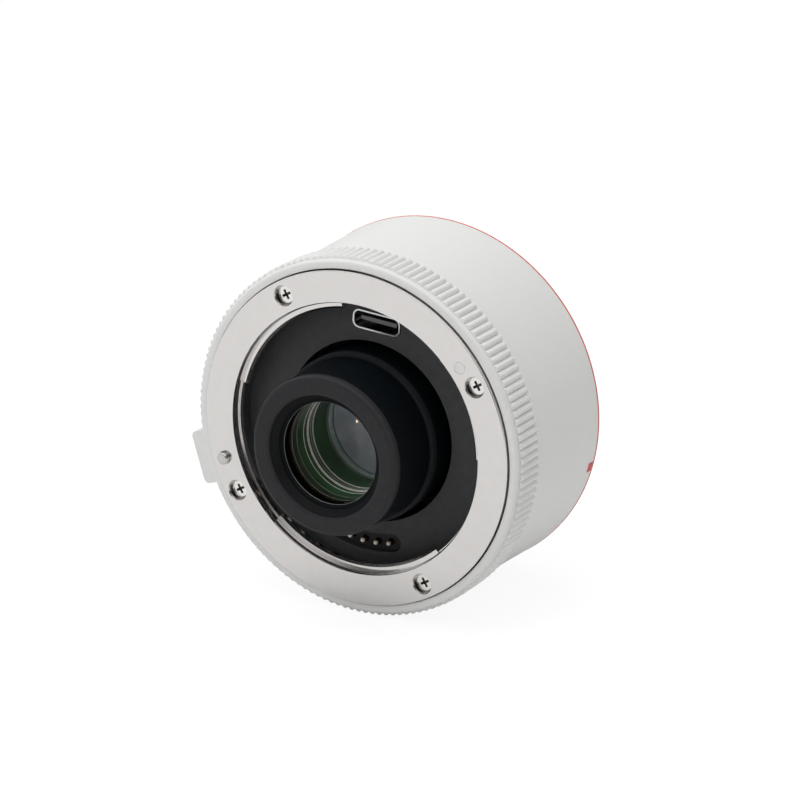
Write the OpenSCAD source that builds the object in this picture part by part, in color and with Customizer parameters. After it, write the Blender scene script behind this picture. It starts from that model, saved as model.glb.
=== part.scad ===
// Camera teleconverter: a short optical barrel that goes between a camera and a lens.
// Origin: centre of the camera flange. +Y runs along the optical axis towards the camera, +Z is up.
// A depth is measured from the lens flange towards the camera, and a radius from the optical axis.
// A clock angle runs clockwise from the top, as seen from the lens side.

/* [Barrel] */
// Distance from the lens flange to the camera flange
flange_distance = 29.5; // [28.5:0.1:40]
// Outer radius of the barrel behind the grip ring
barrel_front_r = 29.95; // [29.9:0.05:31]
// Outer radius of the barrel at its rear edge
barrel_rear_r = 30.7; // [30.2:0.05:32]
// Width of the coloured ring at the rear edge
accent_width = 0.25; // [0.2:0.05:1.2]
// Thickness of the lip inside the barrel's rear end
barrel_lip = 1.6; // [1:0.1:2.2]

/* [Lens mount] */
// Outer radius of the steel mount ring
ring_r = 28.6; // [28.4:0.1:29.2]
// Radius of the throat that the lens enters
throat_r = 23.05; // [22.9:0.05:23.2]
// Thickness of the mount ring
ring_thickness = 2.6; // [2.4:0.1:3.2]
// Height that the ring's face stands above the grip ring
ring_step = 0.6; // [0.5:0.1:1.4]
// Inner radius of the three bayonet tabs
tab_r = 21.9; // [21.7:0.05:22.4]
// Depth of the tabs' front faces
tab_depth = 1.35; // [0.6:0.05:1.5]
// Thickness of the tabs along the axis
tab_thickness = 1.0; // [0.8:0.05:1.2]
// Radius of the circle that the mount screws stand on
screw_circle_r = 26.1; // [25.8:0.1:26.6]
// Clock angle of the first mount screw
first_screw_angle = -30; // [-36:1:-24]
// Radius of the white index dot
dot_r = 0.95; // [0.6:0.05:1.1]
// Radius of the circle that the index dot stands on
dot_circle_r = 25.4; // [25:0.1:27]
// Clock angle of the index dot
dot_angle = 51.4; // [40:0.2:53]

/* [Screws] */
// Radius of the screws' shanks
screw_r = 0.85; // [0.6:0.05:0.95]
// Radius of the screws' heads
head_r = 1.45; // [1.3:0.05:1.6]
// Height of the screws' heads
head_height = 0.8; // [0.6:0.1:1]
// Depth of the lens mount's screw heads below the ring's face
head_sink = 0.95; // [0.5:0.05:1]

/* [Grip ring] */
// Number of ribs round the grip ring
rib_count = 144; // [96:2:160]
// Height of the ribs
rib_height = 0.55; // [0.3:0.05:0.8]
// Radius at the foot of the ribs
rib_root_r = 30.25; // [30:0.05:30.4]
// Depth at which the ribs begin
rib_depth = 1.6; // [1.5:0.1:2.2]
// Length of the grip ring along the axis
grip_length = 6.6; // [6.4:0.1:8]

/* [Release] */
// Clock angle of the release lever and the lock pin
release_angle = -107; // [-110:1:-100]
// Distance that the release slides
release_travel = 1.8; // [1.4:0.1:2.1]
// Width of the lever round the barrel
lever_width = 9.2; // [7:0.1:11]
// Radius of the lever's outer face
lever_r = 33.4; // [31.6:0.1:34]
// Radius of the lock pin
lock_pin_r = 1.05; // [1:0.05:1.4]
// Radius of the circle that the lock pin stands on
lock_circle_r = 26.2; // [26:0.1:26.4]
// Height that the lock pin stands above the ring's face
lock_pin_proud = 0.9; // [0.8:0.1:1.3]

/* [Throat] */
// Depth of the black floor
floor_depth = 5.2; // [5:0.1:6]
// Thickness of the black floor
floor_thickness = 1.2; // [0.8:0.1:1.6]
// Radius of the hole in the floor, round the nose
floor_hole_r = 15.6; // [15.2:0.1:16.2]

/* [Contacts] */
// Radius of the circle that the contacts stand on
contact_circle_r = 19.4; // [19:0.05:19.5]
// Clock angle of the first contact
first_contact_angle = 168.7; // [164:0.1:172]
// Clock angle from one contact to the next
contact_pitch = 7.35; // [6.4:0.05:7.6]
// Radius of a contact's tip
contact_tip_r = 0.36; // [0.25:0.01:0.45]
// Radius of the holes that the contacts come out of
contact_hole_r = 0.6; // [0.5:0.02:0.66]
// Distance that a contact can be pushed in
contact_travel = 0.8; // [0.4:0.1:0.9]
// Height that the contacts stand above the floor
contact_proud = 0.6; // [0.2:0.1:0.8]
// Depth of the contact holder's face below the floor
holder_recess = 0.8; // [0.4:0.1:1]

/* [Socket] */
// Width of the socket's shell
usb_width = 8.94; // [8.4:0.02:9.4]
// Height of the socket's shell
usb_height = 3.26; // [3:0.02:3.6]
// Wall of the socket's shell
usb_wall = 0.3; // [0.2:0.02:0.4]
// Radius of the circle that the socket stands on
usb_circle_r = 19.0; // [18.8:0.1:19.4]
// Clock angle of the socket
usb_angle = 4.5; // [-4:0.5:6]

/* [Nose] */
// Distance that the nose reaches in front of the lens flange
nose_reach = 9.33; // [8.6:0.05:9.8]
// Outer radius of the nose at its front
nose_front_r = 13.53; // [13.2:0.05:13.8]
// Outer radius of the nose at its foot
nose_base_r = 13.93; // [13.8:0.05:14.3]
// Radius of the hole in the nose's front face
nose_hole_r = 10.25; // [10.1:0.05:10.6]
// Radius of the collar behind the nose
collar_r = 14.5; // [14.35:0.05:14.8]
// Depth at which the collar begins
collar_depth = 1.1; // [0.6:0.1:2]
// Depth of the first glass behind the nose's front face
glass_recess = 2.28; // [2.1:0.02:2.6]

/* [Camera mount] */
// Outer radius of the camera flange
camera_flange_r = 29.6; // [28.8:0.1:30]
// Thickness of the camera flange
camera_flange = 1.6; // [1.4:0.1:1.9]
// Outer radius of the bayonet tube
tube_r = 21.6; // [21.5:0.02:21.7]
// Wall of the bayonet tube
tube_wall = 1.2; // [0.9:0.05:1.25]
// Distance that the bayonet tube reaches behind the flange
tube_reach = 5.0; // [4.4:0.1:5.1]
// Outer radius of the three bayonet tabs
bayonet_r = 22.55; // [22.3:0.05:22.6]

/* [Chassis] */
// Depth of the web that carries both lens cells
web_depth = 13.0; // [12.8:0.1:13.4]
// Thickness of that web
web_thickness = 2.0; // [1.6:0.1:2.2]
// Outer radius of the chassis
chassis_r = 29.0; // [28.9:0.05:29.1]
// Wall of the chassis
chassis_wall = 1.6; // [1.2:0.1:1.8]

/* [Hidden] */
$fn = 240;
glass_fn = 480;

// Clearances
seat_gap = 0.03;
running_gap = 0.06;
slide_gap = 0.1;
shell_gap = 0.2;
cement_gap = 0.02;
end_step = 0.1;
cut_past = 1;

// Lens mount
edge_break = 0.25;
throat_lip_r = throat_r - edge_break;
throat_lip_depth = tab_depth + edge_break;
throat_wall = 0.4;
ring_break = 0.12;
tab_spans = [[-75, -7], [44, 89], [138, 222]];
tab_chamfer = 0.4;
leaf_thickness = 0.25;
leaf_span = 30;
leaf_outer_r = throat_r + 1.35;
shim_thickness = 0.2;
lip_bore_r = leaf_outer_r + shell_gap;
screw_count = 4;
screw_angles = [for (i = [0 : screw_count - 1]) first_screw_angle + i * 360 / screw_count];
counterbore_r = head_r + 0.35;
cross_length = 1.7;
cross_width = 0.42;
cross_depth = 0.6;
dot_depth = 0.5;
dot_sink = 0.02;
spring_rear = ring_thickness + leaf_thickness;

// Grip ring
rib_steps = 6;
grip_lip = 1.4;
grip_front = ring_step;
grip_rear = grip_front + grip_length;
grip_bore_r = ring_r + shell_gap;
grip_lip_front = ring_thickness + shim_thickness;
grip_lip_rear = grip_lip_front + grip_lip;
skirt_bore_r = chassis_r + shell_gap / 2;
band_r = rib_root_r + 0.05;
rib_core_r = rib_root_r - 0.15;
bevel_round = 0.75;
bevel_front_r = band_r - bevel_round;

// Throat floor and chassis
shroud_r = lip_bore_r - shell_gap;
shroud_wall_r = throat_r + 0.05;
floor_rear = floor_depth + floor_thickness;
ledge = 1.4;
ledge_rear = floor_rear + ledge;
ledge_r = throat_r - 0.25;
web_rear = web_depth + web_thickness;
web_hole_r = 15.0;
chassis_bore_r = chassis_r - chassis_wall;

// Camera end
flange_front = flange_distance - camera_flange;
barrel_rear = flange_front - accent_width;
chassis_rear = barrel_rear - barrel_lip;
rear_flange = 3.0;
rear_flange_bore_r = screw_circle_r - head_r - 0.25;
spigot_r = 27.5;
spigot_bore_r = screw_circle_r - head_r - 0.05;
barrel_lip_r = spigot_r + shell_gap;
barrel_bore_r = chassis_r + shell_gap;
tube_bore_r = tube_r - tube_wall;
tube_rear = flange_distance + tube_reach;
shelf_r = 16.8;
shelf_front = flange_distance - 2.9;
shelf_rear = flange_distance - 1.1;
relief_depth = 0.3;
relief_r = bayonet_r + 0.25;
bayonet_front = flange_distance + tab_depth + tab_thickness + leaf_thickness + 0.05;
bayonet_thickness = 1.3;
bayonet_spans = [[-61, -21], [48.5, 84.5], [148, 192]];
lock_recess_depth = 1.3;
rear_head_sink = 0.2;

// Index mark on the barrel
mark_angle = 104.5;
mark_length = 1.4;
mark_width = 1.75;
mark_inlay = 0.5;
mark_from_edge = 0.15;
mark_front = barrel_rear - mark_from_edge - mark_length;

// Release
lever_gap = 0.2;
lever_corner = 0.9;
recess_r = rib_root_r - 0.2;
lever_foot_r = recess_r + slide_gap;
lever_setback = 0.8;
lever_front = rib_depth + lever_setback;
lever_rear = grip_rear - lever_gap - release_travel;
slider_front = grip_lip_rear + slide_gap;
slider_length = 3.1;
slider_rear = slider_front + slider_length;
slider_width = 6.0;
slider_foot_r = lock_circle_r - 1.2;
slider_top_r = chassis_r - 0.4;
tongue_front = slider_front + 0.15;
tongue_width = 4.0;
tongue_foot_r = lock_circle_r + lock_pin_r + 0.2;
lock_spring_length = 4.6;
lock_spring_r = 1.15;
lock_spring_wire = 0.25;
pocket_rear = slider_rear + lock_spring_length;
lock_tail_r = 0.7;
lock_tail = 2.2;
lock_round = 0.25;
boss_side = 1.4;
boss_foot_r = slider_foot_r - 1.5;

// Contacts
contact_count = 10;
contact_angles = [for (i = [0 : contact_count - 1]) first_contact_angle + i * contact_pitch];
contact_wall = 1.2;
contact_collar_r = contact_hole_r + 0.14;
contact_collar = 0.6;
contact_spring = 1.6;
contact_spring_r = 0.5;
contact_spring_bore_r = 0.3;
contact_tip = floor_depth - contact_proud;
holder_front = floor_depth + holder_recess;
holder_shoulder = holder_front + contact_wall;
holder_rear = holder_shoulder + contact_collar + contact_spring;
holder_half = 1.5;
holder_flange_half = 2.1;
holder_flange = 0.8;
holder_margin = 2.2;
holder_from = first_contact_angle - holder_margin;
holder_to = contact_angles[contact_count - 1] + holder_margin;
pad_r = 0.75;
pad_thickness = 0.2;
pad_proud = 0.05;
block_half = tube_bore_r - contact_circle_r - running_gap;

// Boards and flexible strips
board_thickness = 0.8;
usb_board_width = 12;
usb_board_height = 5;
usb_proud = 0.15;
usb_corner = 1.25;
usb_back = 0.5;
usb_front = floor_depth - usb_proud;
usb_rear = web_depth - board_thickness;
tongue_board_width = 6.69;
tongue_board_height = 0.7;
tongue_board_recess = 0.9;
main_board_bore_r = 20.8;
main_board_r = rear_flange_bore_r - shell_gap;
main_board_post = 2.0;
main_board_front = web_rear + main_board_post;
main_board_rear = main_board_front + board_thickness;
board_screw_r = (main_board_bore_r + main_board_r) / 2;
board_screw_angles = [30, 150, 270];
board_post_r = 1.3;
chip_angle = 90;
chip_size = [2.6, 4, 1];
flex_angle = 200;
flex_width = 5;
flex_thickness = 0.2;
flex_slot = 0.6;
front_flex_r = 22.2;
rear_flex_r = 21.8;
flex_tail = 1.6;

// Optics: the cells are bored to the glass, and each element has a flat rim to be held by
glass_rim = 0.7;
bumper_length = 1.63;
bumper_bevel = 0.72;
bumper_inner_break = 0.55;
bumper_taper = 1.0;
bumper_rear = bumper_length - nose_reach;
retainer_wall = 0.82;
retainer_gap = 0.1;
retainer_slope = 0.5;
shoulder = 1.0;
glass_1_r = 10.4;
glass_1_rim = 1.8;
glass_3_r = 9.6;
glass_5_r = 12.2;
glass_6_r = 13.0;
glass_8_r = 13.8;
glass_1_thickness = 1.8;
glass_2_thickness = 3.8;
glass_3_thickness = 4.6;
glass_4_thickness = 1.8;
glass_5_thickness = 2.4;
glass_6_thickness = 1.0;
glass_7_thickness = 3.8;
glass_8_thickness = 1.2;
middle_retainer_length = 1.0;
group_retainer_length = 0.6;
rear_retainer_length = 0.8;
spacer_length = 2.0;
cell_lip = 0.2;
cell_clearance = 0.6;
glass_1_front = glass_recess - nose_reach;
glass_1_rear = glass_1_front + glass_1_thickness;
glass_2_rear = glass_1_rear + glass_2_thickness;
glass_3_front = glass_2_rear + shoulder;
glass_3_rear = glass_3_front + glass_3_thickness;
glass_4_rear = glass_3_rear + glass_4_thickness;
middle_retainer_rear = glass_4_rear + middle_retainer_length;
glass_5_front = web_rear + cell_lip;
glass_5_rear = glass_5_front + glass_5_thickness;
glass_6_front = glass_5_rear + spacer_length;
glass_6_rear = glass_6_front + glass_6_thickness;
glass_7_rear = glass_6_rear + glass_7_thickness;
glass_8_front = glass_7_rear + group_retainer_length;
glass_8_rear = glass_8_front + glass_8_thickness;
glass_8_rim = glass_8_r - glass_6_r + glass_rim + seat_gap;
cell_rear = glass_8_rear + rear_retainer_length;
cell_r = shelf_r - cell_clearance;
cell_flange_r = 20.4;
cell_flange = 1.6;
spigot_length = web_thickness / 2 - 0.05;
nose_flange_r = 16.0;
nose_flange = 1.0;
lug_r = 2.6;
lug_arm = 4.4;
lug_thickness = 2.0;
lug_angles = [45, 165, 285];
lug_circle_r = 19.0;
cell_screw_angles = [105, 225, 345];
cell_screw_circle_r = 18.3;
cell_screw_length = 4.4;
rear_cell_screw_length = 4.0;
thread_start_r = glass_1_r + retainer_wall;
retainer_r = glass_1_r - glass_1_rim + running_gap;
baffle_r = shelf_r + 0.5;
baffle_thickness = 1.0;
baffle_window = [25, 17.5];
baffle_corner = 1.5;

// Curves of the glass: a positive one bulges outwards, and a negative one is hollow
curve_1_front = 38;
cement_1_curve = 30;
curve_2_rear = -45;
curve_3_front = -40;
cement_2_curve = 25;
curve_4_rear = 35;
curve_5_front = 40;
curve_5_rear = 60;
curve_6_front = -60;
cement_3_curve = 40;
curve_7_rear = -90;
curve_8_front = 70;

function contact_name(i) = str("contact_pin_", i < 9 ? "0" : "", i + 1);
function glass_name(i) = str("lens_", i);
function sag(curve, r) = abs(curve) - sqrt(curve * curve - r * r);

CONTACTS = [for (i = [0 : contact_count - 1]) contact_name(i)];
GLASSES = [for (i = [1 : 8]) glass_name(i)];

// Helpers
module on_axis() {
    translate([0, -flange_distance, 0])
        rotate([-90, 0, 0])
            children();
}

// Places a child with its x pointing outwards, its y clockwise and its z towards the camera
module at_clock(angle, radius, depth) {
    on_axis()
        rotate([0, 0, angle - 90])
            translate([radius, 0, depth])
                children();
}

module turned(outline) {
    on_axis()
        rotate_extrude()
            polygon(outline);
}

module ring(inner, outer, front, rear) {
    turned([[inner, front], [outer, front], [outer, rear], [inner, rear]]);
}

module ring_arc(inner, outer, front, rear, from, to) {
    on_axis()
        rotate([0, 0, from - 90])
            rotate_extrude(angle = to - from)
                polygon([[inner, front], [outer, front], [outer, rear], [inner, rear]]);
}

module rod(angle, circle, r, front, rear) {
    at_clock(angle, circle, front)
        cylinder(r = r, h = rear - front);
}

// A bar bent round the axis; its round ends are a touch smaller, so that no two faces are tangent or in line
module kidney(circle, half, front, rear, from, to) {
    ring_arc(circle - half, circle + half, front, rear, from, to);
    for (angle = [from, to])
        rod(angle, circle, half - end_step, front + seat_gap, rear - seat_gap);
}

// A box that stands on the given radius, centred on a clock angle
module block(angle, inner, outer, width, front, rear) {
    at_clock(angle, inner, front)
        translate([0, -width / 2, 0])
            cube([outer - inner, width, rear - front]);
}

module rounded_plate(size, corner, thickness) {
    linear_extrude(thickness)
        union() {
            square([size[0] - 2 * corner, size[1]], center = true);
            square([size[0], size[1] - 2 * corner], center = true);
            for (x = [-1, 1], y = [-1, 1])
                translate([x * (size[0] / 2 - corner), y * (size[1] / 2 - corner)])
                    circle(r = corner);
        }
}

// A cross-head screw; facing is 1 when its head looks towards the lens and -1 towards the camera
module screw(angle, circle, head_top, length, facing) {
    at_clock(angle, circle, head_top)
        mirror([0, 0, facing < 0 ? 1 : 0])
            difference() {
                union() {
                    cylinder(r = head_r, h = head_height);
                    cylinder(r = screw_r, h = length);
                }
                for (turn = [0, 90])
                    rotate([0, 0, turn])
                        translate([-cross_length / 2, -cross_width / 2, -cut_past])
                            cube([cross_length, cross_width, cross_depth + cut_past]);
            }
}

module screw_holes(angles, circle, front, rear) {
    for (angle = angles)
        rod(angle, circle, screw_r + seat_gap, front, rear);
}

// One glass: a positive curve bulges outwards, a negative one is hollow, and 0 is flat
module glass(r, front, rear, front_curve, rear_curve, rim = glass_rim) {
    clear = r - rim;
    on_axis()
        difference() {
            union() {
                translate([0, 0, front])
                    cylinder(r = r, h = rear - front);
                if (front_curve > 0)
                    cap(clear, front, front_curve, -1);
                if (rear_curve > 0)
                    cap(clear, rear, rear_curve, 1);
            }
            if (front_curve < 0)
                translate([0, 0, front + sag(front_curve, clear) + front_curve])
                    sphere(r = -front_curve, $fn = glass_fn);
            if (rear_curve < 0)
                translate([0, 0, rear - sag(rear_curve, clear) - rear_curve])
                    sphere(r = -rear_curve, $fn = glass_fn);
        }
}

module cap(clear, depth, curve, side) {
    height = sag(curve, clear);
    intersection() {
        translate([0, 0, depth + side * (height - curve)])
            sphere(r = curve, $fn = glass_fn);
        translate([0, 0, side > 0 ? depth - glass_rim : depth - height - cut_past])
            cylinder(r = clear, h = height + cut_past + glass_rim);
    }
}

// Outer shells
module outer_barrel() {
    color("white")
        difference() {
            turned([
                [barrel_bore_r, grip_rear],
                [barrel_front_r, grip_rear],
                [barrel_rear_r, barrel_rear],
                [barrel_lip_r, barrel_rear],
                [barrel_lip_r, chassis_rear],
                [barrel_bore_r, chassis_rear]
            ]);
            mark_block(seat_gap);
        }
}

module mark_block(grow) {
    block(mark_angle, barrel_rear_r - mark_inlay - grow, barrel_rear_r + cut_past,
        mark_width + 2 * grow, mark_front - grow, mark_front + mark_length + grow);
}

module index_mark() {
    color("red")
        intersection() {
            mark_block(0);
            turned([
                [barrel_bore_r, grip_rear],
                [barrel_front_r, grip_rear],
                [barrel_rear_r, barrel_rear],
                [barrel_bore_r, barrel_rear]
            ]);
        }
}

module accent_ring() {
    color("orangered")
        ring(barrel_lip_r, barrel_rear_r + pad_proud, barrel_rear, flange_front);
}

function rib_outline() = [
    for (i = [0 : rib_count * rib_steps - 1])
        let (a = 360 * i / (rib_count * rib_steps))
            (rib_root_r + rib_height * abs(cos(a * rib_count / 2))) * [cos(a), sin(a)]
];

module grip_ring() {
    color("white")
        difference() {
            union() {
                turned([
                    [grip_bore_r, grip_front],
                    [bevel_front_r, grip_front],
                    [bevel_front_r + bevel_round * sin(60), grip_front + bevel_round * (1 - cos(60))],
                    [band_r, grip_front + bevel_round],
                    [band_r, rib_depth],
                    [rib_core_r, rib_depth],
                    [rib_core_r, grip_rear],
                    [skirt_bore_r, grip_rear],
                    [skirt_bore_r, grip_lip_rear],
                    [lip_bore_r, grip_lip_rear],
                    [lip_bore_r, grip_lip_front],
                    [grip_bore_r, grip_lip_front]
                ]);
                on_axis()
                    translate([0, 0, rib_depth])
                        linear_extrude(grip_rear - rib_depth)
                            difference() {
                                polygon(rib_outline());
                                circle(r = (rib_core_r + skirt_bore_r) / 2);
                            }
            }
            block(release_angle, recess_r, lever_r, lever_width + 2 * slide_gap,
                lever_front - slide_gap, grip_rear + cut_past);
            block(release_angle, chassis_bore_r, lever_r, tongue_width + 2 * slide_gap,
                grip_lip_rear, grip_rear + cut_past);
            screw_holes(screw_angles, screw_circle_r, grip_lip_front - cut_past, grip_lip_rear + cut_past);
            lock_pin_hole(grip_lip_front - cut_past, grip_lip_rear + cut_past);
        }
}

// Lens mount
module lock_pin_hole(front, rear) {
    rod(release_angle, lock_circle_r, lock_pin_r + running_gap, front, rear);
}

// One tab of the throat, with its front inner edge chamfered to guide the lens in
module bayonet_tab(from, to) {
    rear = tab_depth + tab_thickness;
    on_axis()
        rotate([0, 0, from - 90])
            rotate_extrude(angle = to - from)
                polygon([
                    [tab_r + tab_chamfer, tab_depth],
                    [throat_r + 2 * edge_break, tab_depth],
                    [throat_r + 2 * edge_break, rear],
                    [tab_r, rear],
                    [tab_r, tab_depth + tab_chamfer]
                ]);
}

module lens_mount_ring() {
    color("silver")
        difference() {
            union() {
                turned([
                    [throat_r + edge_break, 0],
                    [ring_r - ring_break, 0],
                    [ring_r, ring_break],
                    [ring_r, ring_thickness],
                    [throat_lip_r, ring_thickness],
                    [throat_lip_r, throat_lip_depth],
                    [throat_r, throat_lip_depth],
                    [throat_r, throat_wall + edge_break],
                    [throat_r + edge_break, throat_wall]
                ]);
                for (span = tab_spans)
                    bayonet_tab(span[0], span[1]);
            }
            for (angle = screw_angles)
                rod(angle, screw_circle_r, counterbore_r, -cut_past, head_sink + head_height);
            screw_holes(screw_angles, screw_circle_r, 0, ring_thickness + cut_past);
            lock_pin_hole(-cut_past, ring_thickness + cut_past);
            rod(dot_angle, dot_circle_r, dot_r + seat_gap, -cut_past, dot_depth);
        }
}

module lens_mount_screws() {
    color("gainsboro")
        for (angle = screw_angles)
            screw(angle, screw_circle_r, head_sink, ledge_rear - head_sink - seat_gap, 1);
}

module lens_index_dot() {
    color("white")
        rod(dot_angle, dot_circle_r, dot_r, dot_sink, dot_depth);
}

module mount_leaf_spring() {
    color("lightsteelblue")
        union() {
            ring(shroud_wall_r, leaf_outer_r, ring_thickness, spring_rear);
            for (span = tab_spans)
                let (middle = (span[0] + span[1]) / 2)
                    ring_arc(tab_r + edge_break, shroud_wall_r + edge_break, ring_thickness, spring_rear,
                        middle - leaf_span / 2, middle + leaf_span / 2);
        }
}

module flange_shim() {
    color("darkgray")
        difference() {
            ring(lip_bore_r, ring_r - edge_break, ring_thickness, grip_lip_front);
            screw_holes(screw_angles, screw_circle_r, 0, grip_lip_rear);
            lock_pin_hole(0, grip_lip_rear);
        }
}

// Release
module release_lever() {
    color("white")
        union() {
            intersection() {
                at_clock(release_angle, lever_foot_r, lever_front)
                    translate([(lever_r - lever_foot_r - lever_corner) / 2, 0, 0])
                        rounded_plate([lever_r - lever_foot_r + lever_corner, lever_width], lever_corner,
                            lever_rear - lever_front);
                block(release_angle, lever_foot_r, lever_r + cut_past, lever_width + cut_past,
                    lever_front - cut_past, lever_rear + cut_past);
            }
            block(release_angle, tongue_foot_r, lever_r - lever_corner, tongue_width,
                tongue_front, lever_rear);
        }
}

module release_slider() {
    color("dimgray")
        difference() {
            block(release_angle, slider_foot_r, slider_top_r, slider_width, slider_front, slider_rear);
            block(release_angle, tongue_foot_r - seat_gap, slider_top_r + cut_past,
                tongue_width + 2 * seat_gap, tongue_front - seat_gap, lever_rear + seat_gap);
            rod(release_angle, lock_circle_r, lock_pin_r + seat_gap, slider_front - cut_past,
                slider_rear + cut_past);
        }
}

module lock_pin() {
    color("silver")
        at_clock(release_angle, lock_circle_r, 0)
            rotate_extrude()
                polygon([
                    [0, -lock_pin_proud],
                    [lock_pin_r - lock_round, -lock_pin_proud],
                    [lock_pin_r, lock_round - lock_pin_proud],
                    [lock_pin_r, slider_rear],
                    [lock_tail_r, slider_rear],
                    [lock_tail_r, slider_rear + lock_tail],
                    [0, slider_rear + lock_tail]
                ]);
}

module lock_spring() {
    color("silver")
        difference() {
            rod(release_angle, lock_circle_r, lock_spring_r, slider_rear, pocket_rear);
            rod(release_angle, lock_circle_r, lock_spring_r - lock_spring_wire, slider_rear - cut_past,
                pocket_rear + cut_past);
        }
}

// Chassis and throat floor
module chassis() {
    color("dimgray")
        difference() {
            union() {
                turned([
                    [lip_bore_r, grip_lip_rear],
                    [chassis_r, grip_lip_rear],
                    [chassis_r, chassis_rear],
                    [rear_flange_bore_r, chassis_rear],
                    [rear_flange_bore_r, chassis_rear - rear_flange],
                    [chassis_bore_r, chassis_rear - rear_flange],
                    [chassis_bore_r, web_rear],
                    [web_hole_r, web_rear],
                    [web_hole_r, web_depth],
                    [chassis_bore_r, web_depth],
                    [chassis_bore_r, ledge_rear],
                    [ledge_r, ledge_rear],
                    [ledge_r, floor_rear],
                    [lip_bore_r, floor_rear]
                ]);
                block(release_angle, boss_foot_r, chassis_bore_r + edge_break,
                    slider_width + 2 * boss_side, floor_rear, web_depth + edge_break);
                for (angle = board_screw_angles)
                    rod(angle, board_screw_r, board_post_r, web_rear - edge_break, main_board_front);
            }
            block(release_angle, slider_foot_r - slide_gap, chassis_r + cut_past,
                slider_width + 2 * slide_gap, grip_lip_rear - cut_past, pocket_rear);
            screw_holes(screw_angles, screw_circle_r, grip_lip_rear - cut_past, ledge_rear + cut_past);
            screw_holes(screw_angles, screw_circle_r, chassis_rear - rear_flange - cut_past,
                chassis_rear + cut_past);
            screw_holes(lug_angles, lug_circle_r, web_depth - cut_past, web_rear + cut_past);
            screw_holes(cell_screw_angles, cell_screw_circle_r, web_depth - cut_past, web_rear + cut_past);
            screw_holes(board_screw_angles, board_screw_r, web_rear + edge_break,
                main_board_front + cut_past);
            block(flex_angle, front_flex_r - flex_slot, front_flex_r + flex_thickness + flex_slot,
                flex_width + 2 * flex_slot, web_depth - cut_past, web_rear + cut_past);
        }
}

module front_shroud() {
    color("#2a2a2c")
        difference() {
            turned([
                [floor_hole_r, floor_depth],
                [shroud_wall_r, floor_depth],
                [shroud_wall_r, spring_rear],
                [shroud_r, spring_rear],
                [shroud_r, floor_rear],
                [floor_hole_r, floor_rear]
            ]);
            kidney(contact_circle_r, holder_half + slide_gap, floor_depth - cut_past, floor_rear + cut_past,
                holder_from, holder_to);
            at_clock(usb_angle, usb_circle_r, floor_depth - cut_past)
                rounded_plate([usb_height + 2 * slide_gap, usb_width + 2 * slide_gap],
                    usb_corner + slide_gap, floor_thickness + 2 * cut_past);
        }
}

// Contacts
module contact_holder() {
    color("#242426")
        difference() {
            union() {
                kidney(contact_circle_r, holder_half, holder_front, holder_rear, holder_from, holder_to);
                kidney(contact_circle_r, holder_flange_half, floor_rear, floor_rear + holder_flange,
                    holder_from, holder_to);
            }
            for (angle = contact_angles) {
                rod(angle, contact_circle_r, contact_hole_r, holder_front - cut_past, holder_rear);
                rod(angle, contact_circle_r, contact_collar_r + running_gap, holder_shoulder,
                    holder_rear + cut_past);
            }
        }
}

module contact_pin(i) {
    color("gold")
        at_clock(contact_angles[i], contact_circle_r, 0)
            union() {
                translate([0, 0, contact_tip + contact_tip_r])
                    sphere(r = contact_tip_r);
                translate([0, 0, contact_tip + contact_tip_r])
                    cylinder(r = contact_tip_r, h = holder_shoulder - contact_tip - contact_tip_r);
                translate([0, 0, holder_shoulder])
                    cylinder(r = contact_collar_r, h = contact_collar);
            }
}

module contact_springs() {
    color("silver")
        for (angle = contact_angles)
            difference() {
                rod(angle, contact_circle_r, contact_spring_r, holder_shoulder + contact_collar, holder_rear);
                rod(angle, contact_circle_r, contact_spring_bore_r, holder_shoulder, holder_rear + cut_past);
            }
}

module front_flex() {
    color("peru")
        union() {
            kidney(contact_circle_r, holder_half, holder_rear, holder_rear + flex_thickness,
                holder_from, holder_to);
            block(flex_angle, contact_circle_r, front_flex_r + flex_thickness, flex_width,
                holder_rear + seat_gap, holder_rear + seat_gap + flex_thickness);
            block(flex_angle, front_flex_r, front_flex_r + flex_thickness, flex_width,
                holder_rear, main_board_front);
            block(flex_angle, front_flex_r, front_flex_r + flex_tail, flex_width,
                main_board_front - flex_thickness, main_board_front);
        }
}

// Socket and boards
module usb_shell() {
    color("silver")
        difference() {
            at_clock(usb_angle, usb_circle_r, usb_front)
                rounded_plate([usb_height, usb_width], usb_corner, usb_rear - usb_front);
            at_clock(usb_angle, usb_circle_r, usb_front - cut_past)
                rounded_plate([usb_height - 2 * usb_wall, usb_width - 2 * usb_wall], usb_corner - usb_wall,
                    usb_rear - usb_front - usb_back + cut_past);
        }
}

module usb_tongue() {
    color("#202020")
        block(usb_angle, usb_circle_r - tongue_board_height / 2, usb_circle_r + tongue_board_height / 2,
            tongue_board_width, usb_front + tongue_board_recess, usb_rear - usb_back);
}

module usb_board() {
    color("darkgreen")
        block(usb_angle, usb_circle_r - usb_board_height / 2, usb_circle_r + usb_board_height / 2,
            usb_board_width, usb_rear, web_depth);
}

module main_board() {
    color("darkgreen")
        difference() {
            ring(main_board_bore_r, main_board_r, main_board_front, main_board_rear);
            screw_holes(board_screw_angles, board_screw_r, web_rear, main_board_rear + cut_past);
        }
}

module board_screws() {
    color("gainsboro")
        for (angle = board_screw_angles)
            screw(angle, board_screw_r, main_board_rear + head_height,
                main_board_rear + head_height - web_rear - 2 * edge_break, -1);
}

module controller_chip() {
    color("#181818")
        block(chip_angle, board_screw_r - chip_size[0] / 2, board_screw_r + chip_size[0] / 2, chip_size[1],
            main_board_rear, main_board_rear + chip_size[2]);
}

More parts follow.
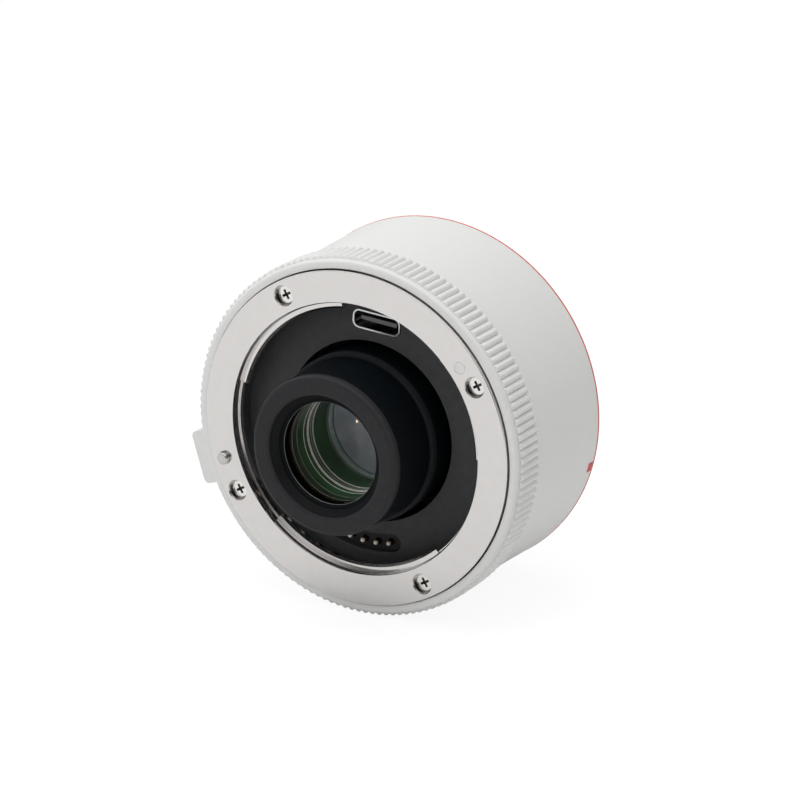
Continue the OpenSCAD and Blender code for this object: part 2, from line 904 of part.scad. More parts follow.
module rear_flex() {
    turn_depth = shelf_front - 2 * flex_thickness;
    color("peru")
        union() {
            block(flex_angle, rear_flex_r, rear_flex_r + flex_tail, flex_width,
                main_board_rear, main_board_rear + flex_thickness);
            block(flex_angle, rear_flex_r, rear_flex_r + flex_thickness, flex_width,
                main_board_rear, turn_depth);
            block(flex_angle, contact_circle_r, rear_flex_r + flex_thickness, flex_width,
                turn_depth - flex_thickness, turn_depth);
            block(flex_angle, contact_circle_r, contact_circle_r + flex_thickness, flex_width,
                turn_depth - flex_thickness, shelf_rear);
        }
}

// Optics
module nose_front_ring() {
    front = -nose_reach;
    color("#303032")
        turned([
            [nose_hole_r + bumper_inner_break, front],
            [nose_front_r - bumper_bevel, front],
            [nose_front_r - bumper_bevel * (1 - sin(45)), front + bumper_bevel * (1 - cos(45))],
            [nose_front_r, front + bumper_bevel],
            [nose_front_r, bumper_rear],
            [nose_hole_r - bumper_taper, bumper_rear],
            [nose_hole_r, front + bumper_inner_break],
            [nose_hole_r + bumper_inner_break * (1 - sin(45)), front + bumper_inner_break * (1 - cos(45))]
        ]);
}

module nose_barrel() {
    groove_r = nose_base_r - 0.3;
    color("#1c2024")
        difference() {
            union() {
                turned([
                    [thread_start_r + seat_gap, bumper_rear],
                    [nose_front_r, bumper_rear],
                    [nose_base_r, collar_depth - shell_gap],
                    [groove_r, collar_depth - shell_gap],
                    [groove_r, collar_depth],
                    [collar_r, collar_depth],
                    [collar_r, web_depth - nose_flange],
                    [nose_flange_r, web_depth - nose_flange],
                    [nose_flange_r, web_depth - running_gap],
                    [web_hole_r - seat_gap, web_depth - running_gap],
                    [web_hole_r - seat_gap, web_depth + spigot_length],
                    [glass_5_r - glass_rim, web_depth + spigot_length],
                    [glass_3_r + seat_gap, middle_retainer_rear],
                    [glass_3_r + seat_gap, glass_3_front],
                    [glass_3_r - glass_rim, glass_3_front],
                    [glass_3_r - glass_rim, glass_2_rear],
                    [glass_1_r + seat_gap, glass_2_rear],
                    [glass_1_r + seat_gap, glass_1_front],
                    [thread_start_r + seat_gap, glass_1_front]
                ]);
                for (angle = lug_angles) {
                    block(angle, collar_r - edge_break, lug_circle_r, lug_arm,
                        web_depth - lug_thickness, web_depth);
                    rod(angle, lug_circle_r, lug_r, web_depth - lug_thickness, web_depth);
                }
            }
            screw_holes(lug_angles, lug_circle_r, web_depth - lug_thickness - cut_past,
                web_depth + cut_past);
        }
}

module front_retainer() {
    color("#151518")
        turned([
            [retainer_r + retainer_slope, bumper_rear + retainer_gap],
            [thread_start_r, bumper_rear + retainer_gap],
            [thread_start_r, glass_1_front],
            [retainer_r, glass_1_front]
        ]);
}

module middle_retainer() {
    color("#151518")
        ring(glass_3_r - glass_rim, glass_3_r, glass_4_rear, middle_retainer_rear);
}

module rear_lens_cell() {
    color("#1c2024")
        difference() {
            turned([
                [glass_5_r - glass_rim, web_rear - spigot_length],
                [web_hole_r - seat_gap, web_rear - spigot_length],
                [web_hole_r - seat_gap, web_rear],
                [cell_flange_r, web_rear],
                [cell_flange_r, web_rear + cell_flange],
                [cell_r, web_rear + cell_flange],
                [cell_r, cell_rear],
                [glass_8_r + seat_gap, cell_rear],
                [glass_8_r + seat_gap, glass_8_front],
                [glass_6_r + seat_gap, glass_8_front],
                [glass_6_r + seat_gap, glass_6_front],
                [glass_5_r + seat_gap, glass_6_front],
                [glass_5_r + seat_gap, glass_5_front],
                [glass_5_r - glass_rim, glass_5_front]
            ]);
            screw_holes(cell_screw_angles, cell_screw_circle_r, web_rear - cut_past,
                web_rear + cell_flange + cut_past);
        }
}

module lens_spacer() {
    color("#151518")
        ring(glass_5_r - glass_rim, glass_5_r, glass_5_rear, glass_6_front);
}

module rear_group_retainer() {
    color("#151518")
        ring(glass_6_r - glass_rim, glass_6_r, glass_7_rear, glass_8_front);
}

module rear_retainer() {
    color("#151518")
        ring(glass_8_r - glass_rim, glass_8_r, glass_8_rear, cell_rear);
}

module cell_screws() {
    color("gainsboro") {
        for (angle = lug_angles)
            screw(angle, lug_circle_r, web_depth - lug_thickness - head_height, cell_screw_length, 1);
        for (angle = cell_screw_angles)
            screw(angle, cell_screw_circle_r, web_rear + cell_flange + head_height,
                rear_cell_screw_length, -1);
    }
}

module lens_1() {
    color("palegreen")
        glass(glass_1_r, glass_1_front, glass_1_rear, curve_1_front, cement_1_curve, glass_1_rim);
}

module lens_2() {
    color("lightcyan")
        glass(glass_1_r, glass_1_rear + cement_gap, glass_2_rear, -cement_1_curve, curve_2_rear,
            glass_1_rim);
}

module lens_3() {
    color("lightcyan")
        glass(glass_3_r, glass_3_front, glass_3_rear, curve_3_front, -cement_2_curve);
}

module lens_4() {
    color("palegreen")
        glass(glass_3_r, glass_3_rear + cement_gap, glass_4_rear, cement_2_curve, curve_4_rear);
}

module lens_5() {
    color("lightcyan")
        glass(glass_5_r, glass_5_front, glass_5_rear, curve_5_front, curve_5_rear);
}

module lens_6() {
    color("palegreen")
        glass(glass_6_r, glass_6_front, glass_6_rear, curve_6_front, cement_3_curve);
}

module lens_7() {
    color("lightcyan")
        glass(glass_6_r, glass_6_rear + cement_gap, glass_7_rear, -cement_3_curve, curve_7_rear);
}

module lens_8() {
    color("palegreen")
        glass(glass_8_r, glass_8_front, glass_8_rear, curve_8_front, 0, glass_8_rim);
}

// Camera mount
module camera_mount() {
    color("silver")
        difference() {
            union() {
                turned([
                    [shelf_r, shelf_front],
                    [tube_r, shelf_front],
                    [tube_r, flange_front],
                    [spigot_bore_r, flange_front],
                    [spigot_bore_r, chassis_rear],
                    [spigot_r, chassis_rear],
                    [spigot_r, flange_front],
                    [camera_flange_r, flange_front],
                    [camera_flange_r, flange_distance - edge_break],
                    [camera_flange_r - edge_break, flange_distance],
                    [relief_r, flange_distance],
                    [relief_r, flange_distance - relief_depth],
                    [tube_r, flange_distance - relief_depth],
                    [tube_r, tube_rear - edge_break],
                    [tube_r - edge_break, tube_rear],
                    [tube_bore_r, tube_rear],
                    [tube_bore_r, shelf_rear],
                    [shelf_r, shelf_rear]
                ]);
                for (span = bayonet_spans)
                    ring_arc(tube_r - edge_break, bayonet_r, bayonet_front,
                        bayonet_front + bayonet_thickness, span[0], span[1]);
            }
            for (angle = screw_angles)
                rod(angle, screw_circle_r, counterbore_r, flange_distance - rear_head_sink - head_height,
                    flange_distance + cut_past);
            screw_holes(screw_angles, screw_circle_r, chassis_rear - cut_past, flange_distance);
            rod(release_angle, lock_circle_r, lock_pin_r + slide_gap, flange_distance - lock_recess_depth,
                flange_distance + cut_past);
            block(flex_angle, contact_circle_r - flex_slot, contact_circle_r + flex_thickness + flex_slot,
                flex_width + 2 * flex_slot, shelf_front - cut_past, shelf_rear + cut_past);
        }
}

module camera_mount_screws() {
    color("gainsboro")
        for (angle = screw_angles)
            screw(angle, screw_circle_r, flange_distance - rear_head_sink,
                flange_distance - rear_head_sink - chassis_rear + rear_flange - edge_break, -1);
}

module rear_contact_block() {
    color("#202022")
        difference() {
            kidney(contact_circle_r, block_half, shelf_rear, tube_rear, holder_from, holder_to);
            for (angle = contact_angles)
                rod(angle, contact_circle_r, pad_r + seat_gap, tube_rear + pad_proud - pad_thickness,
                    tube_rear + cut_past);
        }
}

module rear_contact_pads() {
    color("gold")
        for (angle = contact_angles)
            rod(angle, contact_circle_r, pad_r, tube_rear + pad_proud - pad_thickness,
                tube_rear + pad_proud);
}

module rear_baffle() {
    color("#161616")
        difference() {
            ring(0, baffle_r, shelf_rear, shelf_rear + baffle_thickness);
            at_clock(90, 0, shelf_rear - cut_past)
                rounded_plate(baffle_window, baffle_corner, baffle_thickness + 2 * cut_past);
        }
}

outer_barrel();
grip_ring();
accent_ring();
index_mark();
lens_mount_ring();
lens_mount_screws();
lens_index_dot();
mount_leaf_spring();
flange_shim();
release_lever();
release_slider();
lock_pin();
lock_spring();
chassis();
front_shroud();
contact_holder();
contact_springs();
front_flex();
usb_shell();
usb_tongue();
usb_board();
main_board();
board_screws();
controller_chip();
rear_flex();
nose_front_ring();
nose_barrel();
front_retainer();
middle_retainer();
rear_lens_cell();
lens_spacer();
rear_group_retainer();
rear_retainer();
cell_screws();
camera_mount();
camera_mount_screws();
rear_contact_block();
rear_contact_pads();
rear_baffle();
lens_1();
lens_2();
lens_3();
lens_4();
lens_5();
lens_6();
lens_7();
lens_8();
for (i = [0 : contact_count - 1])
    contact_pin(i);
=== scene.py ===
"""Looks of a camera teleconverter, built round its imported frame."""
import math

import bmesh
import bpy
from mathutils import Matrix, Vector


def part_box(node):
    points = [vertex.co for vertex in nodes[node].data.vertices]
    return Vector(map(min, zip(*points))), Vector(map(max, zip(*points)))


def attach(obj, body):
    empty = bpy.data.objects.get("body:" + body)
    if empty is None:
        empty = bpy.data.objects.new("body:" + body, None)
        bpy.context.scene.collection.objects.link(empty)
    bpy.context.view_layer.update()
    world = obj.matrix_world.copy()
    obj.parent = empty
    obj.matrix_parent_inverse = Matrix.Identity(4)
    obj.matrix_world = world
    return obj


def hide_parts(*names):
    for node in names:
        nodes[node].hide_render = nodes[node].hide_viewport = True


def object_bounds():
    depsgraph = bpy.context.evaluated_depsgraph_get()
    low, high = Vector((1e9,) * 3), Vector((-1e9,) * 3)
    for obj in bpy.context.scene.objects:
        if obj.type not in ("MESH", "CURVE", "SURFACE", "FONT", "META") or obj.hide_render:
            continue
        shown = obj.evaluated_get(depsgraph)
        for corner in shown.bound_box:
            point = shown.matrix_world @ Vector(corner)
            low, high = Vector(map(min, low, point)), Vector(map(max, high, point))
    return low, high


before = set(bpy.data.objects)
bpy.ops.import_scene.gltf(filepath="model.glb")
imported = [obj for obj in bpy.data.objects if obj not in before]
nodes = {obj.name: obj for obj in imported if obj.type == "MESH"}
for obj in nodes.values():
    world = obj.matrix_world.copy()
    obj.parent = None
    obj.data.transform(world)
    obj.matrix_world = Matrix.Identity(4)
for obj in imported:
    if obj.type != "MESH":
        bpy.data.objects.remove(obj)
cad_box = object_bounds()
MM = 0.001
LENS_FLANGE_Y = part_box("lens_mount_ring")[0].y

# Places of the colour mix node's sockets, and of the number mix node's
COLOR_A, COLOR_B, COLOR_OUT = 6, 7, 2
VALUE_A, VALUE_B, VALUE_OUT = 2, 3, 0
# Values that a noise texture mostly stays between
NOISE_LOW = 0.3
NOISE_HIGH = 0.7
BEVEL_SAMPLES = 4
GRAIN_DETAIL = 3.0
ACROSS_AXIS = (1, 0, 1)


def depth_of(name, end):
    """Depth of a node's front (0) or rear (1) end behind the lens flange, in mm."""
    return (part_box(name)[end].y - LENS_FLANGE_Y) / MM


def radius_of(name):
    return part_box(name)[1].x / MM


def linear(red, green, blue):
    """Turns a colour as it looks on a screen, 0 to 255, into the renderer's own numbers."""
    out = []
    for value in (red, green, blue):
        value = value / 255
        out.append(value / 12.92 if value <= 0.04045 else ((value + 0.055) / 1.055) ** 2.4)
    return (*out, 1.0)


# Materials
class Finish:
    """A node material: a base colour with fine variation, grain and softened edges."""

    def __init__(self, name, color, rough, metallic=0.0, specular=0.5):
        self.mat = bpy.data.materials.new(name)
        self.mat.use_nodes = True
        self.tree = self.mat.node_tree
        self.shader = self.tree.nodes["Principled BSDF"]
        self.color = color
        self.rough = rough
        self.shader.inputs["Base Color"].default_value = color
        self.shader.inputs["Roughness"].default_value = rough
        self.shader.inputs["Metallic"].default_value = metallic
        self.shader.inputs["Specular IOR Level"].default_value = specular
        self.place = self.add("ShaderNodeTexCoord").outputs["Object"]
        self.normal = None

    def add(self, kind, **settings):
        node = self.tree.nodes.new(kind)
        for key, value in settings.items():
            setattr(node, key, value)
        return node

    def link(self, source, target):
        self.tree.links.new(source, target)

    def noise(self, scale, detail=2.0):
        node = self.add("ShaderNodeTexNoise")
        node.inputs["Scale"].default_value = scale
        node.inputs["Detail"].default_value = detail
        self.link(self.place, node.inputs["Vector"])
        return node.outputs["Fac"]

    def spread(self, value, low, high):
        node = self.add("ShaderNodeMapRange")
        node.inputs["From Min"].default_value = NOISE_LOW
        node.inputs["From Max"].default_value = NOISE_HIGH
        node.inputs["To Min"].default_value = low
        node.inputs["To Max"].default_value = high
        self.link(value, node.inputs["Value"])
        return node.outputs["Result"]

    def mottle(self, scale, amount):
        """The base colour wanders a little lighter and darker."""
        mix = self.add("ShaderNodeMix", data_type="RGBA")
        dark = [c * (1 - amount) for c in self.color[:3]] + [1.0]
        light = [min(1.0, c * (1 + amount)) for c in self.color[:3]] + [1.0]
        mix.inputs[COLOR_A].default_value = dark
        mix.inputs[COLOR_B].default_value = light
        self.link(self.spread(self.noise(scale), 0.0, 1.0), mix.inputs["Factor"])
        self.link(mix.outputs[COLOR_OUT], self.shader.inputs["Base Color"])
        return self

    def uneven(self, scale, amount):
        """The gloss wanders a little."""
        value = self.spread(self.noise(scale), self.rough - amount, self.rough + amount)
        self.link(value, self.shader.inputs["Roughness"])
        return self

    def soften(self, radius):
        """Edges catch the light as if broken by this radius."""
        node = self.add("ShaderNodeBevel", samples=BEVEL_SAMPLES)
        node.inputs["Radius"].default_value = radius
        self.normal = node.outputs["Normal"]
        self.link(self.normal, self.shader.inputs["Normal"])
        return self

    def bump(self, height, strength, distance):
        node = self.add("ShaderNodeBump")
        node.inputs["Strength"].default_value = strength
        node.inputs["Distance"].default_value = distance
        self.link(height, node.inputs["Height"])
        if self.normal:
            self.link(self.normal, node.inputs["Normal"])
        self.normal = node.outputs["Normal"]
        self.link(self.normal, self.shader.inputs["Normal"])
        return self

    def grain(self, scale, strength, distance=0.00005):
        return self.bump(self.noise(scale, GRAIN_DETAIL), strength, distance)

    def from_axis(self):
        """Distance from the optical axis."""
        flat = self.add("ShaderNodeVectorMath", operation="MULTIPLY")
        flat.inputs[1].default_value = ACROSS_AXIS
        self.link(self.place, flat.inputs[0])
        length = self.add("ShaderNodeVectorMath", operation="LENGTH")
        self.link(flat.outputs["Vector"], length.inputs[0])
        return length.outputs["Value"]

    def turned(self, pitch, strength, distance=0.00001):
        """Fine rings round the optical axis, as a lathe leaves them."""
        split = self.add("ShaderNodeSeparateXYZ")
        self.link(self.place, split.inputs["Vector"])
        depth = self.add("ShaderNodeMath", operation="ADD")
        self.link(self.from_axis(), depth.inputs[0])
        self.link(split.outputs["Y"], depth.inputs[1])
        lines = self.add("ShaderNodeTexNoise", noise_dimensions="1D")
        lines.inputs["Scale"].default_value = 1 / pitch
        self.link(depth.outputs["Value"], lines.inputs["W"])
        return self.bump(lines.outputs["Fac"], strength, distance)

    def recolor(self, share, color):
        """Another colour where this share is 1."""
        mix = self.add("ShaderNodeMix", data_type="RGBA")
        self.link(share, mix.inputs["Factor"])
        self.link(self.shader.inputs["Base Color"].links[0].from_socket, mix.inputs[COLOR_A])
        mix.inputs[COLOR_B].default_value = color
        self.link(mix.outputs[COLOR_OUT], self.shader.inputs["Base Color"])
        return self

    def band(self, depth, half, color):
        """Another colour within half a width of this depth behind the lens flange, in mm."""
        split = self.add("ShaderNodeSeparateXYZ")
        self.link(self.place, split.inputs["Vector"])
        near = self.add("ShaderNodeMath", operation="COMPARE")
        near.inputs[1].default_value = LENS_FLANGE_Y + depth * MM
        near.inputs[2].default_value = half * MM
        self.link(split.outputs["Y"], near.inputs[0])
        return self.recolor(near.outputs["Value"], color)

    def fade(self, axis, start, end, color):
        """Another colour that comes in between two places along an axis, in mm from the origin."""
        split = self.add("ShaderNodeSeparateXYZ")
        self.link(self.place, split.inputs["Vector"])
        share = self.add("ShaderNodeMapRange", interpolation_type="SMOOTHSTEP")
        share.inputs["From Min"].default_value = start * MM
        share.inputs["From Max"].default_value = end * MM
        self.link(split.outputs[axis], share.inputs["Value"])
        return self.recolor(share.outputs["Result"], color)

    def inside(self, radius, color):
        """Another colour nearer to the optical axis than this radius in mm."""
        step = self.add("ShaderNodeMath", operation="LESS_THAN")
        step.inputs[1].default_value = radius * MM
        self.link(self.from_axis(), step.inputs[0])
        return self.recolor(step.outputs["Value"], color)


# Bands of painted light and shade, in mm: the depth of each one's middle, and half its width
# Painted shade in the screws' cross slots; painted highlights on the contact pins' tips, the USB tongue's
# front edge and the nose collar
CROSS_DEPTH, CROSS_HALF = 0.6, 0.15
TIP_DEPTH, TIP_HALF = 0.1, 0.4
TONGUE_HALF = 0.05
COLLAR_DEPTH, COLLAR_HALF = 1.6, 0.65
# Radius in mm within which the bumper ring is painted darker: painted shade in its mouth
BUMPER_MOUTH_R = 10.3
# Heights and depths in mm between which the liner's colour changes: its painted reflection turns grey
# towards the top, and painted shade darkens it towards the front
LINER_GREY_Z = (0.0, 7.0)
LINER_DARK_DEPTH = (-1.0, -5.0)

white_paint = Finish("white_paint", linear(229, 229, 227), 0.38).mottle(900, 0.008).uneven(1500, 0.04)
white_paint.soften(0.00012).grain(9000, 0.12, 0.00002)
orange_paint = Finish("orange_paint", linear(222, 78, 52), 0.4).mottle(1200, 0.04).soften(0.00008)
red_enamel = Finish("red_enamel", linear(205, 40, 28), 0.3).mottle(2500, 0.06)
white_enamel = Finish("white_enamel", linear(236, 236, 232), 0.35).mottle(2500, 0.02)
mount_steel = Finish("mount_steel", linear(226, 223, 221), 0.14, metallic=1.0).mottle(700, 0.015)
mount_steel.uneven(2000, 0.03).soften(0.00008).turned(0.00006, 0.08)
pin_steel = Finish("pin_steel", linear(205, 203, 200), 0.18, metallic=1.0).mottle(1500, 0.03)
pin_steel.soften(0.00015)
screw_steel = Finish("screw_steel", linear(214, 211, 207), 0.2, metallic=1.0).mottle(3000, 0.05)
screw_steel.soften(0.00012)
# Lens mount screws: a lighter copy of the screw steel, painted brighter against the shade of their
# counterbores, with painted shade at the bottom of their cross slots
mount_screw_steel = Finish("mount_screw_steel", linear(238, 236, 233), 0.12, metallic=1.0)
mount_screw_steel.mottle(3000, 0.05).soften(0.00006)
mount_screw_steel.band(depth_of("lens_mount_screws", 0) + CROSS_DEPTH, CROSS_HALF, linear(62, 60, 58))
spring_steel = Finish("spring_steel", linear(190, 190, 192), 0.25, metallic=1.0).mottle(1200, 0.04)
chassis_alloy = Finish("chassis_alloy", linear(150, 150, 152), 0.4, metallic=1.0).mottle(1500, 0.04)
black_plastic = Finish("black_plastic", linear(76, 76, 77), 0.6, specular=0.05).mottle(700, 0.08)
black_plastic.uneven(2500, 0.05).soften(0.0001).grain(14000, 0.1, 0.00002)
contact_plastic = Finish("contact_plastic", linear(40, 40, 41), 0.5, specular=0.2).mottle(1500, 0.08)
contact_plastic.soften(0.00008)
nose_black = Finish("nose_black", linear(8, 12, 15), 0.45, specular=0.1).mottle(900, 0.1).soften(0.0001)
# A lighter band round the collar: a painted highlight on its lit front face
nose_black.turned(0.0001, 0.06).band(COLLAR_DEPTH, COLLAR_HALF, linear(40, 41, 44))
bumper_black = Finish("bumper_black", linear(46, 46, 48), 0.5, specular=0.15).mottle(1100, 0.07)
# Darker inside the mouth: painted shade
bumper_black.soften(0.0001).grain(12000, 0.08, 0.00002).inside(BUMPER_MOUTH_R, linear(15, 16, 18))
inner_black = Finish("inner_black", linear(9, 12, 16), 0.5, specular=0.1).mottle(1500, 0.15)
inner_black.turned(0.0003, 0.2)
gilt = Finish("gilt", linear(255, 222, 190), 0.25, metallic=0.5).mottle(6000, 0.05)
# Contact pins: gold, painted dark as painted shade along their shafts in the holes, with a painted
# highlight on their tips
pin_gilt = Finish("pin_gilt", linear(52, 38, 28), 0.4, specular=0.1).mottle(6000, 0.1)
pin_gilt.band(depth_of("contact_pin_01", 0) + TIP_DEPTH, TIP_HALF, linear(255, 240, 228))
socket_metal = Finish("socket_metal", linear(205, 205, 206), 0.22, metallic=1.0).mottle(3000, 0.04)
socket_metal.soften(0.00006)
# USB tongue: black, with a painted highlight along its front edge
tongue_black = Finish("tongue_black", linear(40, 40, 40), 0.4, specular=0.3).mottle(3000, 0.1)
tongue_black.band(depth_of("usb_tongue", 0), TONGUE_HALF, linear(120, 120, 118))
board_green = Finish("board_green", linear(20, 84, 46), 0.4).mottle(1200, 0.15)
chip_black = Finish("chip_black", linear(26, 26, 27), 0.5).mottle(3000, 0.1)
flex_amber = Finish("flex_amber", linear(170, 104, 40), 0.35).mottle(1500, 0.1)

GLASS_IOR = 1.5


def coated_glass(name, tint):
    """Clear glass: a tinted mirror that only shows as strongly as glass reflects, and not from inside."""
    finish = Finish(name, tint, 0.03, metallic=1.0).mottle(300, 0.03)
    fresnel = finish.add("ShaderNodeFresnel")
    fresnel.inputs["IOR"].default_value = GLASS_IOR
    outside = finish.add("ShaderNodeMapRange")
    outside.inputs["To Min"].default_value = 1
    outside.inputs["To Max"].default_value = 0
    finish.link(finish.add("ShaderNodeNewGeometry").outputs["Backfacing"], outside.inputs["Value"])
    scale = finish.add("ShaderNodeMath", operation="MULTIPLY")
    finish.link(fresnel.outputs["Fac"], scale.inputs[0])
    finish.link(outside.outputs["Result"], scale.inputs[1])
    finish.link(scale.outputs["Value"], finish.shader.inputs["Alpha"])
    return finish


front_coating = coated_glass("front_coating", linear(124, 110, 93))
rear_coating = coated_glass("rear_coating", linear(125, 112, 168))
deep_glass = Finish("deep_glass", linear(16, 13, 24), 0.08, specular=0.35).mottle(300, 0.2)
# Painted light for the edges inside the nose: bright, dim and teal copies of one pale edge paint stand for
# how much light and coating reflection each edge shows
edge_grey = Finish("edge_grey", linear(238, 234, 226), 0.35).mottle(2500, 0.15)
edge_dim = Finish("edge_dim", linear(110, 120, 112), 0.35).mottle(2500, 0.15)
edge_teal = Finish("edge_teal", linear(196, 220, 214), 0.35).mottle(1200, 0.15)
# The liner's colour is painted reflection and shade: blotchy green for the glass coatings' reflections, a
# painted grey reflection towards the top, and painted shade towards the front
liner_painted_reflections = Finish("liner_painted_reflections", linear(34, 92, 52), 0.35, specular=0.2).mottle(180, 0.35)
liner_painted_reflections.fade("Z", *LINER_GREY_Z, linear(120, 122, 124))
liner_dark_y = [LENS_FLANGE_Y / MM + depth for depth in LINER_DARK_DEPTH]
liner_painted_reflections.fade("Y", *liner_dark_y, linear(8, 18, 11)).turned(0.0003, 0.2)
# Pale grey-blue for the deep end: painted light, for the light seen through the rear glass
deep_blue = Finish("deep_blue", linear(192, 196, 206), 0.25).mottle(400, 0.15)

FINISHES = {
    white_paint: ["outer_barrel", "grip_ring", "release_lever"],
    orange_paint: ["accent_ring"],
    red_enamel: ["index_mark"],
    white_enamel: ["lens_index_dot"],
    mount_steel: ["lens_mount_ring", "camera_mount"],
    pin_steel: ["lock_pin"],
    mount_screw_steel: ["lens_mount_screws"],
    screw_steel: ["camera_mount_screws", "board_screws", "cell_screws"],
    spring_steel: ["mount_leaf_spring", "flange_shim", "lock_spring", "contact_springs"],
    chassis_alloy: ["chassis", "release_slider"],
    black_plastic: ["front_shroud", "rear_contact_block", "rear_baffle"],
    contact_plastic: ["contact_holder"],
    nose_black: ["nose_barrel"],
    bumper_black: ["nose_front_ring"],
    inner_black: ["front_retainer", "middle_retainer", "rear_lens_cell", "lens_spacer",
                  "rear_group_retainer", "rear_retainer"],
    gilt: ["rear_contact_pads"],
    pin_gilt: [name for name in nodes if name.startswith("contact_pin_")],
    socket_metal: ["usb_shell"],
    tongue_black: ["usb_tongue"],
    board_green: ["usb_board", "main_board"],
    chip_black: ["controller_chip"],
    flex_amber: ["front_flex", "rear_flex"],
    front_coating: ["lens_1"],
    liner_painted_reflections: ["lens_2", "lens_3", "lens_4"],
    rear_coating: ["lens_5", "lens_6", "lens_8"],
    deep_glass: ["lens_7"],
}
for finish, names in FINISHES.items():
    for name in names:
        mesh = nodes[name].data
        mesh.materials.clear()
        mesh.materials.append(finish.mat)


# Meshes of the scene's own
def at(radius, clock, depth):
    """A point by its radius, clock angle and depth behind the lens flange, with lengths in mm."""
    angle = math.radians(clock)
    return (radius * MM * math.sin(angle), LENS_FLANGE_Y + depth * MM, radius * MM * math.cos(angle))


def add_piece(name, points, faces, finish, sharp):
    mesh = bpy.data.meshes.new(name)
    mesh.from_pydata(points, [], faces)
    shape = bmesh.new()
    shape.from_mesh(mesh)
    bmesh.ops.recalc_face_normals(shape, faces=shape.faces)
    shape.to_mesh(mesh)
    shape.free()
    mesh.shade_smooth()
    mesh.set_sharp_from_angle(angle=math.radians(sharp))
    mesh.materials.append(finish.mat)
    piece = bpy.data.objects.new(name, mesh)
    bpy.context.scene.collection.objects.link(piece)
    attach(piece, "root")
    return piece


def ring_faces(first, around, across):
    """Faces of a closed tube whose section has that many points, repeated round the axis."""
    faces = []
    for i in range(around):
        here = first + i * across
        there = first + (i + 1) % around * across
        for k in range(across):
            after = (k + 1) % across
            faces.append((here + k, here + after, there + after, there + k))
    return faces


def turned_piece(name, outlines, finish, around=180, sharp=35):
    """Turns closed outlines of (radius, depth) points round the optical axis."""
    points = []
    faces = []
    for outline in outlines:
        faces += ring_faces(len(points), around, len(outline))
        for i in range(around):
            points += [at(radius, 360 * i / around, depth) for radius, depth in outline]
    return add_piece(name, points, faces, finish, sharp)


# Inside of the nose: a liner and the ground edges of the inner glass, coloured with painted light and
# reflection; lengths in mm
LINER_WALL = 0.08
LINER_INSET = 0.8
LINER_OVERLAP = 0.9
LINER_TAIL = 1.5
EDGE_HEIGHT = 0.15
# Depth and width of each edge
BRIGHT_EDGES = ((-1.05, 0.14), (0.25, 0.6), (1.8, 0.24))
DIM_EDGES = ((-4.6, 0.1), (-3.1, 0.12), (1.1, 0.3), (6.4, 0.5))
DEEP_EDGE = (7.4, 1.5)
liner_r = radius_of("lens_3") - LINER_INSET
liner_front = depth_of("lens_1", 1) - LINER_OVERLAP
liner_rear = depth_of("middle_retainer", 1) + LINER_TAIL
liner = turned_piece("optic_liner", [
    [(liner_r, liner_front), (liner_r, liner_rear), (liner_r + LINER_WALL, liner_rear),
     (liner_r + LINER_WALL, liner_front)],
], liner_painted_reflections)


def edge_ring(depth, width):
    """Outline of a thin raised ring on the liner."""
    half = width / 2
    height = min(EDGE_HEIGHT, half)
    return [(liner_r, depth - half), (liner_r - height, depth - half / 2),
            (liner_r - height, depth + half / 2), (liner_r, depth + half)]


edges = turned_piece("optic_edges", [edge_ring(*edge) for edge in BRIGHT_EDGES], edge_grey)
turned_piece("optic_dim_edges", [edge_ring(*edge) for edge in DIM_EDGES], edge_dim)
turned_piece("optic_deep_edge", [edge_ring(*DEEP_EDGE)], edge_teal)

# Thin light ring on the front retainer's edge, where its bore meets the glass: a painted highlight
RETAINER_R = 8.66
RETAINER_LINE = 0.06
retainer_line_r = RETAINER_R + RETAINER_LINE
retainer_line_depth = depth_of("front_retainer", 1) - RETAINER_LINE
turned_piece("retainer_edge", [
    [(retainer_line_r, retainer_line_depth), (retainer_line_r - RETAINER_LINE, retainer_line_depth), (retainer_line_r, retainer_line_depth - RETAINER_LINE)],
], edge_dim)

# Deep end of the tube, a curved plate painted pale grey-blue as painted light, for the light seen through
# the rear glass; its middle keeps a pinhole, so that no face has a side of no length
PINHOLE_R = 0.01
DEEP_SETBACK = 0.1
DEEP_CURVE = 30
DEEP_THICKNESS = 0.3


def dome(radius, rim_depth, curve, thickness, count=16):
    """Outline of a curved plate that bulges towards the lens side."""
    steps = [max(PINHOLE_R, radius * i / count) for i in range(count + 1)]
    sag = curve - math.sqrt(curve * curve - radius * radius)
    face = [(r, rim_depth - sag + curve - math.sqrt(curve * curve - r * r)) for r in steps]
    return face + [(radius, rim_depth + thickness), (PINHOLE_R, rim_depth + thickness)]


deep_outline = dome(liner_r, liner_rear - DEEP_SETBACK, DEEP_CURVE, DEEP_THICKNESS)
deep_end = turned_piece("optic_deep_end", [deep_outline], deep_blue)
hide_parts("lens_2")
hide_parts("lens_3")
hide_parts("lens_4")

# Grip ring: rounded ribs with soft ends, behind a smooth bevelled band; lengths in mm
RIB_COUNT = 144
RIB_STEPS = 14
RIB_HEIGHT = 0.55
RIB_END = 0.2
RIB_START = 1.0
RIB_REAR_DROP = 0.3
CREST_POWER = 0.8
BEVEL = 0.6
CORNER_STEPS = 4
RING_CLEARANCE = 0.2
GRIP_SHARP = 40
grip_front = depth_of("grip_ring", 0)
grip_rear = depth_of("grip_ring", 1)
rib_top_r = radius_of("grip_ring")
rib_root_r = rib_top_r - RIB_HEIGHT
rib_front = grip_front + RIB_START
bore_r = radius_of("lens_mount_ring") + RING_CLEARANCE
lever_low, lever_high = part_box("release_lever")


